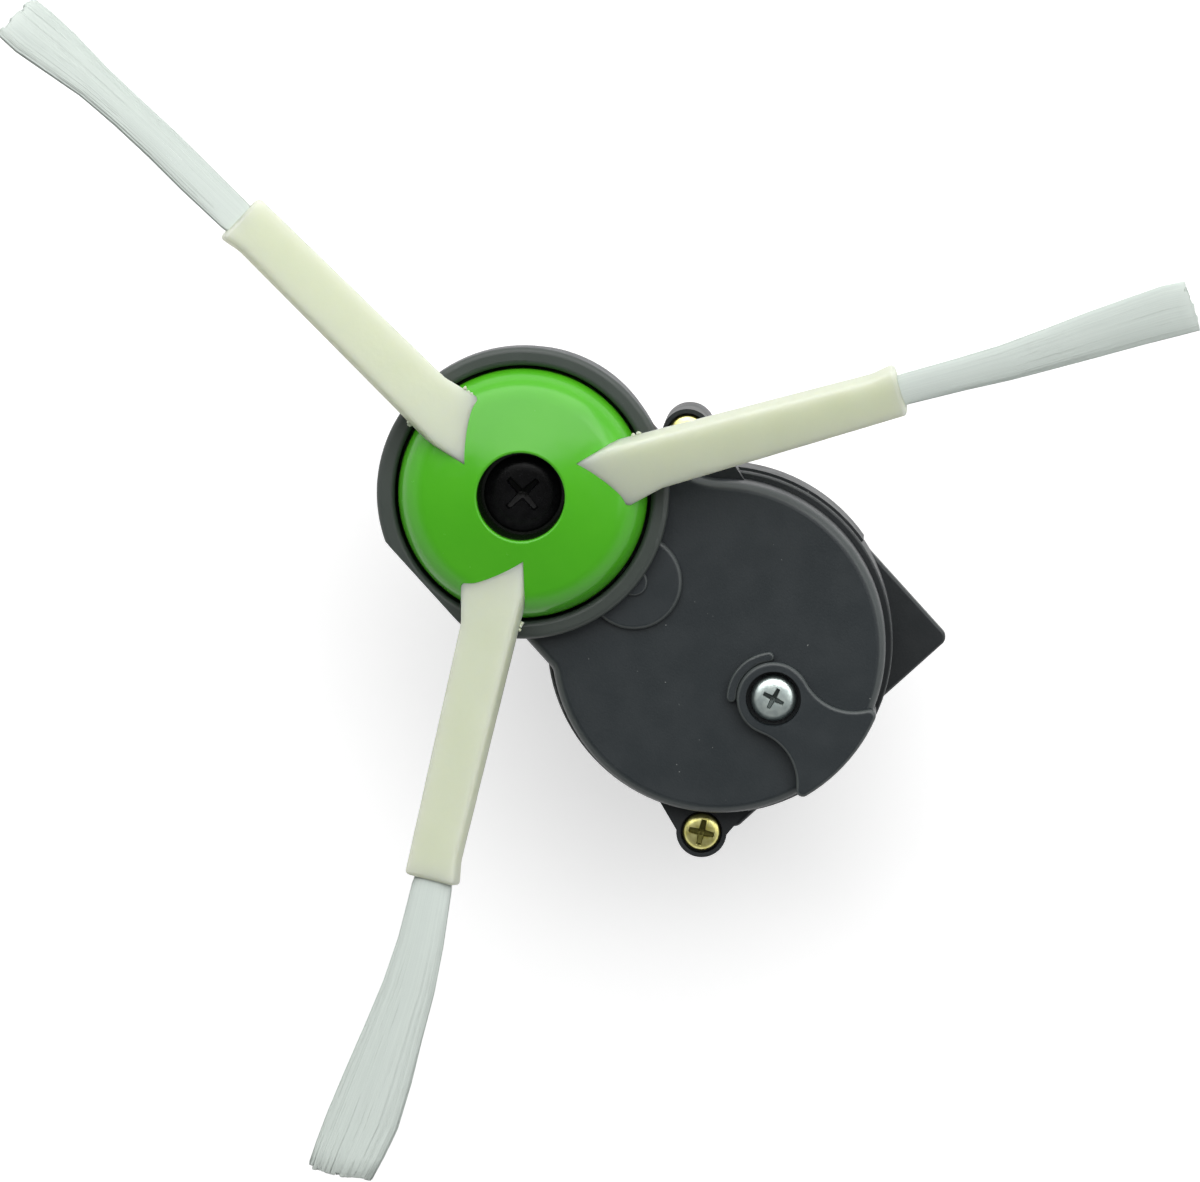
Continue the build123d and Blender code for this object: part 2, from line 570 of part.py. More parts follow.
def arm_outline():
    """Plan of an arm: a long taper with a flared root that sits in the hub."""
    wide_right = (ARM_WIDEST, -ARM_WIDE_RIGHT)
    neck_right = (ARM_NECK, -ARM_NECK_RIGHT)
    tip_right = (ARM_REACH, -ARM_TIP_RIGHT)
    taper = (tip_right[0] - neck_right[0], tip_right[1] - neck_right[1])
    with BuildSketch() as sketch:
        with BuildLine():
            Polyline(
                wide_right,
                (ARM_ROOT, -ARM_ROOT_RIGHT),
                (ARM_ROOT, ARM_ROOT_LEFT),
                (ARM_WIDEST, ARM_WIDE_LEFT),
                (ARM_REACH, ARM_TIP_LEFT),
                tip_right,
                neck_right,
            )
            TangentArc(neck_right, wide_right, tangent=(-taper[0], -taper[1]))
        make_face()
        fillet(sketch.vertices().sort_by(Axis.X)[-2:], ARM_END_R)
    return sketch.sketch


def tuft_section(plane, past, aside, width, thick):
    """Fluted cross-section of a bristle bundle, square to the arm and some way past its end."""
    points = []
    for side in (1, -1):
        for step in range(2 * TUFT_FLUTES):
            across = side * width * (0.5 - step / (2 * TUFT_FLUTES))
            depth = FLUTE_DEPTH if step % 2 else 0.0
            points.append((across, side * (thick / 2 - depth) if step else 0.0))
    origin = plane.from_local_coords(Vector(ARM_REACH + past, aside, -ARM_T / 2))
    across_plane = Plane(origin=origin, x_dir=plane.y_dir, z_dir=plane.x_dir)
    return across_plane * make_face(Polyline(*points, close=True))


arm_middle = (ARM_TIP_LEFT - ARM_TIP_RIGHT) / 2
for number, (turn, length, root_w, tip_w, offset_v, drift) in enumerate(ARMS, start=1):
    plane = arm_plane(turn)
    arm = extrude(plane * arm_outline(), amount=-ARM_T)
    arm = fillet(arm.faces().sort_by(Axis.Z)[-1].edges(), ARM_EDGE_R)
    hub -= arm
    middle = arm_middle + offset_v
    waist_w = root_w + (tip_w - root_w) * TUFT_WAIST_FLARE
    waist_t = (TUFT_ROOT_T + TUFT_TIP_T) / 2
    socket_end = plane.from_local_coords(Vector(ARM_REACH - SOCKET_L, middle, -ARM_T / 2))
    socket_plane = Plane(origin=socket_end, x_dir=plane.y_dir, z_dir=plane.x_dir)
    arm -= extrude(socket_plane * Rectangle(SOCKET_W, SOCKET_T), amount=2 * SOCKET_L)
    tuft = loft(
        [
            tuft_section(plane, -SOCKET_L, middle, SOCKET_W, SOCKET_T),
            tuft_section(plane, 0, middle, SOCKET_W, SOCKET_T),
            tuft_section(plane, TUFT_COLLAR, middle, root_w, TUFT_ROOT_T),
            tuft_section(plane, length * TUFT_WAIST, middle + drift * TUFT_WAIST**2, waist_w, waist_t),
            tuft_section(plane, length, middle + drift, tip_w, TUFT_TIP_T),
        ],
        ruled=True,
    )
    save(f"brush_arm_{number}", arm)
    save(f"bristle_tuft_{number}", tuft)
save("brush_hub", hub)

# Case screws and the mounting screw
case_screw = pan_screw(CASE_HEAD_R, CASE_HEAD_H, CASE_THREAD_R, CASE_THREAD_R, 0, CASE_SCREW_L)
case_seat = part_line + EAR_H - EAR_SINK
save("case_screws", Compound(children=[Pos(*ear, case_seat) * case_screw for ear in ears]))
mounting_screw = pan_screw(
    MOUNT_HEAD_R, MOUNT_HEAD_H, MOUNT_NECK_R, MOUNT_THREAD_R, screw_seat, MOUNT_FREE
)
save("mounting_screw", Pos(0, 0, screw_seat) * mounting_screw)
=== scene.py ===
import json
from math import cos, pi, radians, sin

import bpy
import numpy as np
from mathutils import Matrix, Vector


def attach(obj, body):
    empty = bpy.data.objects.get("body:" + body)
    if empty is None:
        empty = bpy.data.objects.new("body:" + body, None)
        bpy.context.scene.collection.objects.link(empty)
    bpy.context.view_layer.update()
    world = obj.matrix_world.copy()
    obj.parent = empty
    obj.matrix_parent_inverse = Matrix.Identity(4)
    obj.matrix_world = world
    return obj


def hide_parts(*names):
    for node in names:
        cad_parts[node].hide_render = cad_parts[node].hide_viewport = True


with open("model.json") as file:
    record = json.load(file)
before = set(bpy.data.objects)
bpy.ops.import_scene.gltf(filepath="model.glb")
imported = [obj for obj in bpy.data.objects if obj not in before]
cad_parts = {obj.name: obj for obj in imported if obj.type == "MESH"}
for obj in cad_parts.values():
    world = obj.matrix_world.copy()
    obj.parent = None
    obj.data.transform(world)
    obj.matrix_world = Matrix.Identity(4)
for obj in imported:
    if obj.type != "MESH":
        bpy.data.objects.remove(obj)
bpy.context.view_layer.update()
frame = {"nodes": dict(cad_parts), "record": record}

MM = 0.001

# Brush axis, the plane of the arms' top faces, and the directions of the arms in degrees
BRUSH = (41.6, 6.1)
ARM_PLANE_Z = 24.05
ARM_RISE, ARM_TWIST = radians(5.0), radians(15.0)
ARM_TURNS = (2.9, 124.85, 243.7)

# Arm stations from the axis, with the half widths to the left and right of its line
ARM_STATIONS = (7.8, 12.7, 17.6, 50.9)
ARM_LEFT = (2.2, 3.0, 2.9, 2.4)
ARM_RIGHT = (4.6, 5.4, 4.2, 3.6)
ARM_T = 3.4
ARM_STEPS, ARM_SIDES = 150, 56
# Squareness of the section, rounding of the end and the share of its quarter circle that is kept
ARM_ROUND = 9.0
ARM_END_ROUND, ARM_END_SHARE = 0.55, 0.98
# Flare of the left side before the end, and what each arm gains on the right by its end
FOOT_FLARE, FOOT_LENGTH = 0.5, 3.6
ARM_SPREAD = (0.4, 0.3, -0.2)
# Waves of the moulding: height, radians to a millimetre and the length over which they set in
ARM_WAVE, ARM_WAVE_RATE, ARM_WAVE_START = 0.015, 0.9, 10.0

# Tufts: stations past the arm's end, then each tuft's right and left edge at those stations
TUFT_STATIONS = (-3.0, 0.8, 8.0, 14.0, 20.0, 26.0, 32.0, 36.0, 39.0)
TUFT_RIGHT = (
    (-2.3, -2.55, -2.55, -2.55, -2.35, -2.3, -2.6, -2.4, -2.0),
    (-2.3, -2.9, -3.05, -3.65, -4.7, -5.9, -7.0, -7.55, -7.9),
    (-2.3, -2.35, -2.5, -2.75, -2.8, -2.85, -2.85, -2.95, -3.0),
)
TUFT_LEFT = (
    (1.5, 1.95, 2.0, 1.9, 2.1, 2.6, 3.75, 4.45, 4.4),
    (1.5, 2.3, 2.85, 3.05, 2.85, 2.8, 2.5, 1.65, 0.6),
    (1.3, 1.65, 1.6, 1.75, 2.35, 3.0, 3.45, 3.75, 3.5),
)
TUFT_END = (38.7, 40.2, 39.0)
TUFT_ROOT_T, TUFT_TIP_T = 2.0, 2.6
# How far the section thins towards its edges, where 1 is an ellipse
TUFT_ROUND = 0.96
TUFT_SEED = 100
# Filaments, the share of them inside the outer layer, and how short their ends may fall
FILAMENTS, FILAMENT_R, FILAMENT_SIDES = 2000, 0.068, 4
INNER_SHARE = 0.25
FILAMENT_SHORT = 0.15
# Clumps: how far each draws together at the tip, and how short it may end
CLUMPS, CLUMP_PULL, CLUMP_SHORT = 13, 0.12, 0.6
# Stray bends of a filament: to the side, the share of that up and down, and the half waves along it
SWAY, SWAY_RISE, SWAY_WAVES = 0.07, 0.3, (0.6, 1.5)
# Core: shares of the tuft's width and thickness, how short it ends, bluntness of its oval and its shade
CORE_WIDE, CORE_THICK, CORE_SHORT, CORE_SIDES = 0.95, 0.93, 1.2, 40
CORE_BLUNT, CORE_SHADE = 0.4, 0.4

# Moulding flash: the arm, side, reach from the axis and height of each spot, and the crumbs to a spot
FLASH_SPOTS = ((0, -1, 14.6, -0.5), (0, 1, 16.8, -2.9), (1, 1, 16.2, -3.0), (2, 1, 16.8, -3.0))
FLASH_CRUMBS, FLASH_RINGS, FLASH_SIDES = 5, 9, 12
FLASH_SEED = 7
# Crumbs: least and greatest size, how far they stray along and up the arm and stand out, and their lumps
FLASH_SIZE, FLASH_STRAY, FLASH_OUT, FLASH_LUMPS = (0.12, 0.30), (0.9, 0.2), 0.05, (0.22, 0.12)
FLASH_POLE = 0.02

# Each kind of screw: head radius and height, then neck radius, thread radius, neck length, thread length
# and pitch, then half length, half width and depth of the cross recess
MOUNTING_SCREW = (3.0, 2.1), (1.15, 1.5, 16.6, 8.0, 1.1), (1.45, 0.34, 1.0)
CASE_SCREW = (2.5, 1.6), (1.1, 1.1, 0.2, 7.8, 0.8), (1.7, 0.46, 0.9)
BRUSH_SCREW = (5.0, 1.8), (1.5, 1.5, 0.2, 7.8, 1.0), (2.6, 0.5, 1.3)
# Places of the screws: axis, height of the head's seat and turn of the recess in degrees
MOUNTING_PLACES = [((0.0, 0.0), 16.6, 20.0)]
CASE_PLACES = [((32.74, -14.32), 11.2, 10.0), ((-7.19, 19.32), 11.2, 35.0)]
BRUSH_PLACES = [(BRUSH, 19.1, 0.0)]
# Grid of a screw: points round it, rings on its crown, where the first one lies, and rings on its thread
SCREW_SIDES, CROWN_RINGS, CROWN_START, THREAD_RINGS = 192, 60, 0.006, 64
# Heads: share of the height that is the upright side, and the chamfer below it
HEAD_SIDE, HEAD_RIM = 0.5, 0.12
# Recess: how far a slot narrows, softness of its sides and ends, depth in the middle and its rise outwards
SLOT_TAPER, SLOT_SIDE_SOFT, SLOT_END_SOFT, SLOT_DEEP, SLOT_RISE = 0.3, 0.07, 0.12, 1.1, 0.5
# Thread: depth in pitches, share of its length that tapers to the tip, and the tip's share of the radius
THREAD_DEPTH, TIP_LENGTH, TIP_R = 0.3, 0.06, 0.35

# Colours in linear light, in pairs where a finish runs from one to the other
SLATE = (0.0098, 0.0148, 0.0178), (0.0176, 0.0235, 0.0266)
# Painted shade for the housing low down
SLATE_LOW_SHADE = (0.0072, 0.0102, 0.0118)
# Painted highlight for the housing's rounded edges
SLATE_EDGE_HIGHLIGHT = (0.052, 0.061, 0.061)
SLATE_LIP = (0.042, 0.052, 0.046)
DUST = (0.20, 0.21, 0.20)
GREEN = (0.060, 0.40, 0.008), (0.085, 0.46, 0.014)
# Painted shade inside the hub's well
GREEN_WELL_SHADE = (0.006, 0.016, 0.004)
IVORY = (0.60, 0.65, 0.495), (0.64, 0.685, 0.545)
NYLON = (0.66, 0.73, 0.685), (0.72, 0.79, 0.74)
NYLON_TIP = (0.76, 0.83, 0.78)
BLACK_OXIDE = (0.002, 0.002, 0.0024), (0.005, 0.005, 0.0056)
BRIGHT_ZINC = (0.62, 0.72, 0.70), (0.80, 0.90, 0.86)
YELLOW_ZINC = (0.72, 0.67, 0.20), (0.92, 0.87, 0.38)
BRASS = (0.62, 0.44, 0.18), (0.74, 0.56, 0.28)
ACETAL = (0.80, 0.79, 0.74), (0.88, 0.87, 0.83)
FERRITE = (0.055, 0.055, 0.06), (0.10, 0.10, 0.105)
# Painted shade in a steel's driver recess: the share of its colour that is left there
RECESS_SHADE_SHARE = 0.16

# Levels between which the housing darkens downwards with painted shade, its edges turn paler with a painted
# highlight and the ring's lip begins
LOW_SHADE_LEVELS, EDGE_HIGHLIGHT_LEVELS, LIP_LEVELS = (15.0, 12.6), (13.0, 16.0), (19.5, 20.0)
# Paleness of the painted highlight on the housing's low edges
LOW_EDGE_HIGHLIGHT = 0.35
# Radii and levels between which the hub's well begins, and with it the painted shade that darkens it
WELL_RADII, WELL_LEVELS = (5.75, 5.6), (25.7, 24.6)
# Slopes, as the upward share of the surface's direction: from upright to rounded, and from level to rounded
UPRIGHT_SLOPES, LEVEL_SLOPES = (0.08, 0.35), (0.995, 0.9)
# Lean of a filament's shading, the slopes at which it sets in and is full, and those of a cut end and a side
LEAN, LEAN_FROM, LEAN_FULL, CUT_SLOPES = 4.5, 0.10, 0.35, (0.2, 0.4)
# Part of a filament's length where it turns to the colour of its tip
TIP_PART = (0.95, 1.0)
# Depths to which the elastomer of the arms and that of the thin flash is milky
ARM_MILKY, FLASH_MILKY = 6.5, 0.05

# Camera: its place, the picture's right and up in the plan, how far it leans to each, and its lens
CAMERA_AT = Vector((72.506, -89.175, 1015.401)) * MM
IMAGE_RIGHT = Vector((-0.6717, -0.7408, 0.0))
IMAGE_UP = Vector((0.7408, -0.6717, 0.0))
CAMERA_LEAN = (0.04, 0.10)
LENS, SENSOR = 232.02, 36.0

# Floor: level of the tower's end and the gap below it, then half its width in metres, its grey and the glow
# that it shows the camera
FLOOR_Z, FLOOR_GAP = -22.8, 0.05
FLOOR_HALF, FLOOR_GREY, FLOOR_GLOW = 4.0, 0.80, 0.48
# Point at which the softboxes aim, in metres
SOFTBOX_AIM = Vector((0.03, 0.0, 0.015))
# Strength of the fill, and the sines of the heights between which the white surroundings end above
FILL = 0.19
OPEN_TOP = (0.75, 0.35)


class Shade:
    """A shader socket. Arithmetic on it adds Math nodes, and node() adds any other node."""

    def __init__(self, tree, socket=None):
        self.tree = tree
        self.socket = socket

    def node(self, kind, settings, inputs, output=0):
        """New node: its settings first, then values or links for its sockets. Gives one output."""
        made = self.tree.nodes.new(kind)
        for key, value in settings.items():
            setattr(made, key, value)
        for key, value in inputs.items():
            if isinstance(value, Shade):
                self.tree.links.new(value.socket, made.inputs[key])
            else:
                made.inputs[key].default_value = value
        return Shade(self.tree, made.outputs[output])

    def math(self, operation, first, second=0.0):
        """Math node on two values or sockets."""
        return self.node("ShaderNodeMath", {"operation": operation}, {0: first, 1: second})

    def __add__(self, other):
        return self.math("ADD", self, other)

    def __radd__(self, other):
        return self.math("ADD", other, self)

    def __sub__(self, other):
        return self.math("SUBTRACT", self, other)

    def __rsub__(self, other):
        return self.math("SUBTRACT", other, self)

    def __mul__(self, other):
        return self.math("MULTIPLY", self, other)

    def __rmul__(self, other):
        return self.math("MULTIPLY", other, self)


def finish(name, constants):
    """New material: itself, its shader and the object's own coordinates."""
    material = bpy.data.materials.new(name)
    material.use_nodes = True
    tree = material.node_tree
    shader = tree.nodes["Principled BSDF"]
    for key, value in constants.items():
        shader.inputs[key].default_value = value
    place = Shade(tree).node("ShaderNodeTexCoord", {}, {}, "Object")
    return material, shader, place


def feed(shader, maps):
    """Link each map to the shader's socket of that name."""
    for name, shade in maps.items():
        shade.tree.links.new(shade.socket, shader.inputs[name])


def axis_of(vector, axis):
    """One of a vector's three numbers."""
    return vector.node("ShaderNodeSeparateXYZ", {}, {"Vector": vector}, axis)


def noise(place, size, detail=2.0, stretch=(1.0, 1.0, 1.0)):
    """Cloudy variation about one half, with features of a size in millimetres."""
    scaled = place.node("ShaderNodeMapping", {}, {"Vector": place, "Scale": stretch})
    inputs = {"Vector": scaled, "Scale": 1.0 / (size * MM), "Detail": detail}
    return place.node("ShaderNodeTexNoise", {}, inputs)


def ramp(shade, low, high):
    """The part of a value between two limits, spread over 0 to 1."""
    inputs = {"Value": shade, "From Min": low, "From Max": high}
    return shade.node("ShaderNodeMapRange", {"interpolation_type": "SMOOTHSTEP"}, inputs)


def span(length, limits):
    """The part of a length between two limits in millimetres, spread over 0 to 1."""
    return ramp(length, limits[0] * MM, limits[1] * MM)


def tint(factor, first, second):
    """Colour that runs from the first to the second as the factor goes from 0 to 1."""
    colours = {6: first if isinstance(first, Shade) else (*first, 1.0), 7: (*second, 1.0)}
    return factor.node("ShaderNodeMix", {"data_type": "RGBA"}, {0: factor, **colours}, 2)


def rounded_edges(place):
    """One where the surface is between upright and level, as on the rounded edges of a moulding."""
    level = axis_of(place.node("ShaderNodeNewGeometry", {}, {}, "Normal"), "Z")
    return ramp(level, *UPRIGHT_SLOPES) * ramp(level, *LEVEL_SLOPES)


def relief(height, depth):
    """Normal of a surface raised by a height map, to a depth in millimetres."""
    return height.node("ShaderNodeBump", {}, {"Height": height, "Distance": depth * MM})


def slate_plastic():
    """Satin slate-grey moulding: fine eroded grain, faint flow streaks, dust specks and a rubbed surface.

    It is darker low down with painted shade, paler on the ring's lip, and paler on its rounded edges with a
    painted highlight, the low ones less so.
    """
    material, shader, place = finish("slate_plastic", {"IOR": 1.5})
    height = axis_of(place, "Z")
    grain = noise(place, size=0.3, detail=3.0)
    flow = noise(place, size=10.0, stretch=(1.0, 0.4, 1.0))
    rubbed = ramp(noise(place, size=4.0, detail=5.0), 0.35, 0.75)
    specks = ramp(noise(place, size=0.55, detail=1.0), 0.80, 0.86)
    # Painted highlight on the rounded edges, weaker low down
    edges = rounded_edges(place) * (LOW_EDGE_HIGHLIGHT + (1.0 - LOW_EDGE_HIGHLIGHT) * span(height, EDGE_HIGHLIGHT_LEVELS))
    colour = tint(flow, *SLATE)
    # Painted shade low down
    colour = tint(span(height, LOW_SHADE_LEVELS), colour, SLATE_LOW_SHADE)
    colour = tint(edges, colour, SLATE_EDGE_HIGHLIGHT)
    colour = tint(span(height, LIP_LEVELS), colour, SLATE_LIP)
    feed(shader, {
        "Base Color": tint(specks, colour, DUST),
        "Roughness": 0.40 + 0.10 * rubbed + 0.08 * grain,
        "Normal": relief(grain, depth=0.012),
    })
    return material


def green_plastic():
    """Glossy green moulding: slight depth of colour, faint rub marks in the gloss and painted shade in its
    well.
    """
    material, shader, place = finish("green_plastic", {"IOR": 1.48})
    swirl = noise(place, size=7.0, detail=3.0)
    rubbed = ramp(noise(place, size=1.6, detail=6.0, stretch=(1.0, 1.0, 0.4)), 0.45, 0.8)
    flat = place.node("ShaderNodeVectorMath", {"operation": "MULTIPLY"}, {0: place, 1: (1.0, 1.0, 0.0)})
    axis = (BRUSH[0] * MM, BRUSH[1] * MM, 0.0)
    radius = place.node("ShaderNodeVectorMath", {"operation": "DISTANCE"}, {0: flat, 1: axis}, "Value")
    # Painted shade that darkens the hub's well with depth
    well = span(radius, WELL_RADII) * span(axis_of(place, "Z"), WELL_LEVELS)
    feed(shader, {
        "Base Color": tint(well, tint(swirl, *GREEN), GREEN_WELL_SHADE),
        "Roughness": 0.19 + 0.10 * rubbed,
        "Normal": relief(noise(place, size=3.0), depth=0.03),
    })
    return material


def ivory_elastomer(name, milky):
    """Soft ivory moulding: milky to a depth in millimetres, faint mottle, matt skin with fine waves."""
    constants = {"IOR": 1.45, "Subsurface Weight": 1.0, "Subsurface Scale": milky * MM,
                 "Subsurface Radius": (1.0, 0.95, 0.8)}
    material, shader, place = finish(name, constants)
    skin = noise(place, size=0.8, detail=3.0)
    feed(shader, {
        "Base Color": tint(noise(place, size=6.0, detail=4.0), *IVORY),
        "Roughness": 0.42 + 0.2 * skin,
        "Normal": relief(skin, depth=0.02),
    })
    return material


def nylon_filament():
    """Pale nylon: each filament has its own shade, and its tip is whiter.

    Light passes from filament to filament, so the sides of each are shaded as if they leaned out of the
    bundle, up or down. Its cut end, which is nearly upright, is shaded as it stands.
    """
    material, shader, place = finish("nylon_filament", {"IOR": 1.53})
    strand = place.node("ShaderNodeUVMap", {"uv_map": "strand"}, {})
    colour = tint(axis_of(strand, "X"), *NYLON)
    smooth = place.node("ShaderNodeNewGeometry", {}, {}, "Normal")
    level = axis_of(smooth, "Z")
    face = axis_of(place.node("ShaderNodeNewGeometry", {}, {}, "True Normal"), "Z")
    side = ramp(place.math("ABSOLUTE", face), *CUT_SLOPES)
    lean = LEAN * side * (ramp(level, LEAN_FROM, LEAN_FULL) - ramp(level, -LEAN_FROM, -LEAN_FULL))
    upward = place.node("ShaderNodeCombineXYZ", {}, {"Z": lean})
    leaning = place.node("ShaderNodeVectorMath", {"operation": "ADD"}, {0: smooth, 1: upward})
    feed(shader, {
        "Base Color": tint(ramp(axis_of(strand, "Y"), *TIP_PART), colour, NYLON_TIP),
        "Roughness": 0.45 + 0.15 * noise(place, size=2.0),
        "Normal": place.node("ShaderNodeVectorMath", {"operation": "NORMALIZE"}, {0: leaning}),
    })
    return material


def steel(name, colours, rough, constants):
    """Plated or blackened steel: drawn streaks, small stains, worn roughness and painted shade in a rougher
    driver recess.
    """
    material, shader, place = finish(name, constants)
    stain = noise(place, size=0.9, detail=4.0)
    drawn = noise(place, size=0.25, stretch=(1.0, 1.0, 0.2))
    shaded_recess = axis_of(place.node("ShaderNodeUVMap", {"uv_map": "recess"}, {}), "X")
    colour = tint(ramp(stain, 0.3, 0.7), *colours)
    feed(shader, {
        # Painted shade in the driver recess, which is also rougher
        "Base Color": tint(shaded_recess, colour, tuple(RECESS_SHADE_SHARE * part for part in colours[0])),
        "Roughness": rough + 0.14 * drawn + 0.2 * shaded_recess,
        "Normal": relief(drawn, depth=0.012),
    })
    return material


def natural_acetal():
    """Milky gear plastic with a faint moulded grain."""
    material, shader, place = finish("natural_acetal", {"IOR": 1.48})
    cloud = noise(place, size=3.0, detail=3.0)
    feed(shader, {
        "Base Color": tint(cloud, *ACETAL),
        "Roughness": 0.32 + 0.12 * cloud,
        "Normal": relief(noise(place, size=0.4), depth=0.01),
    })
    return material


def dark_ferrite():
    """Sintered ferrite: dull dark grey with a fine speckle."""
    material, shader, place = finish("dark_ferrite", {"IOR": 1.6})
    speckle = noise(place, size=0.2, detail=4.0)
    feed(shader, {
        "Base Color": tint(ramp(speckle, 0.4, 0.7), *FERRITE),
        "Roughness": 0.62 + 0.2 * speckle,
        "Normal": relief(speckle, depth=0.02),
    })
    return material


FINISHES = {
    "housing": slate_plastic(),
    "hub": green_plastic(),
    "arm": ivory_elastomer("ivory_elastomer", ARM_MILKY),
    "bristle": nylon_filament(),
    "black_steel": steel("black_oxide_steel", BLACK_OXIDE, 0.18, {"IOR": 1.28}),
    "bright_steel": steel("bright_zinc_steel", BRIGHT_ZINC, 0.30, {"Metallic": 1.0}),
    "gold_steel": steel("yellow_zinc_steel", YELLOW_ZINC, 0.25, {"Metallic": 1.0}),
    "brass": steel("plain_brass", BRASS, 0.28, {"Metallic": 1.0}),
    "gear_plastic": natural_acetal(),
    "magnet": dark_ferrite(),
}

for subpart in frame["record"]["subparts"]:
    node = frame["nodes"][subpart["node"]]
    node.data.materials.clear()
    node.data.materials.append(FINISHES[subpart["material_slot"]])


def piece(name, points, faces, slot, body, replaced=(), crease=40.0):
    """New piece from points in millimetres: smooth faces, finish, body and what it stands for."""
    mesh = bpy.data.meshes.new(name)
    mesh.from_pydata(np.asarray(points).reshape(-1, 3) * MM, [], faces)
    mesh.polygons.foreach_set("use_smooth", np.ones(len(mesh.polygons), dtype=bool))
    mesh.set_sharp_from_angle(angle=radians(crease))
    mesh.materials.append(FINISHES[slot])
    made = bpy.data.objects.new(name, mesh)
    bpy.context.collection.objects.link(made)
    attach(made, body)
    if replaced:
        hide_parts(*replaced)
    return made


def tube_faces(rows, columns, count=1, first=0):
    """Faces of tubes of rings, each closed at both ends, numbered from a first point."""
    row, column = np.mgrid[0:rows - 1, 0:columns]
    after = (column + 1) % columns
    near, far = row * columns, (row + 1) * columns
    quads = np.stack([near + column, near + after, far + after, far + column], axis=-1)
    caps = np.stack([np.arange(columns)[::-1], (rows - 1) * columns + np.arange(columns)])
    shift = first + rows * columns * np.arange(count)[:, None, None]
    sides = (quads.reshape(-1, 4) + shift).reshape(-1, 4)
    return sides.tolist() + (caps + shift).reshape(-1, columns).tolist()


def marks(made, name, values):
    """Give a piece a pair of values at each of its points, as a map of that name."""
    corner = np.empty(len(made.data.loops), dtype=np.int32)
    made.data.loops.foreach_get("vertex_index", corner)
    layer = made.data.uv_layers.new(name=name)
    layer.uv.foreach_set("vector", values[corner].ravel().astype(np.float32))


def arm_axes(turn):
    """Origin and axes of an arm: along it, to its left and out of its top face."""
    flat = np.array([cos(radians(turn)), sin(radians(turn)), 0.0])
    up = np.array([0.0, 0.0, 1.0])
    along = flat * cos(ARM_RISE) + up * sin(ARM_RISE)
    upright = up * cos(ARM_RISE) - flat * sin(ARM_RISE)
    left = np.cross(upright, along)
    normal = upright * cos(ARM_TWIST) - left * sin(ARM_TWIST)
    return np.array([*BRUSH, ARM_PLANE_Z]), np.stack([along, np.cross(normal, along), normal])


def soft_arm(number, turn):
    """One elastomer arm.

    Along the arm the half widths follow the stations. Round the arm the section is a squared-off ellipse:
    across = middle + half width * sign(cos) * |cos| ** (2 / round), and the height likewise with sin.
    Near the end both shrink on a quarter circle. The left side flares smoothly into a foot just before it.
    """
    root, end = ARM_STATIONS[0], ARM_STATIONS[-1]
    shoulder = ARM_STATIONS[2]
    spread = np.linspace(0.0, 1.0, ARM_STEPS)
    along = root + (end - root) * np.sin(spread * pi / 2.0)
    left = np.interp(along, ARM_STATIONS, ARM_LEFT)
    right = np.interp(along, ARM_STATIONS, ARM_RIGHT)
    right += ARM_SPREAD[number - 1] * np.clip((along - shoulder) / (end - shoulder), 0.0, 1.0)
    near_end = np.clip(1.0 - (end - along) / FOOT_LENGTH, 0.0, 1.0)
    left += FOOT_FLARE * near_end ** 2 * (3.0 - 2.0 * near_end)
    inside = np.clip(1.0 - (end - along) / ARM_END_ROUND, 0.0, 1.0)
    shrink = ARM_END_ROUND * (1.0 - np.sqrt(1.0 - np.minimum(inside, ARM_END_SHARE) ** 2))
    half = (left + right) / 2.0 - shrink
    thick = ARM_T / 2.0 - shrink
    middle = (left - right) / 2.0
    angle = np.linspace(0.0, 2.0 * pi, ARM_SIDES, endpoint=False)
    across = np.sign(np.cos(angle)) * np.abs(np.cos(angle)) ** (2.0 / ARM_ROUND)
    height = np.sign(np.sin(angle)) * np.abs(np.sin(angle)) ** (2.0 / ARM_ROUND)
    set_in = np.clip((along - root) / ARM_WAVE_START, 0.0, 1.0)
    wave = ARM_WAVE * np.sin(along * ARM_WAVE_RATE + turn) * set_in
    local = np.stack([
        np.broadcast_to(along[:, None], (ARM_STEPS, ARM_SIDES)),
        middle[:, None] + half[:, None] * across,
        -ARM_T / 2.0 + thick[:, None] * height + wave[:, None],
    ], axis=-1)
    origin, axes = arm_axes(turn)
    piece(f"soft_arm_{number}", origin + local @ axes, tube_faces(ARM_STEPS, ARM_SIDES),
          "arm", "brush", [f"brush_arm_{number}"])


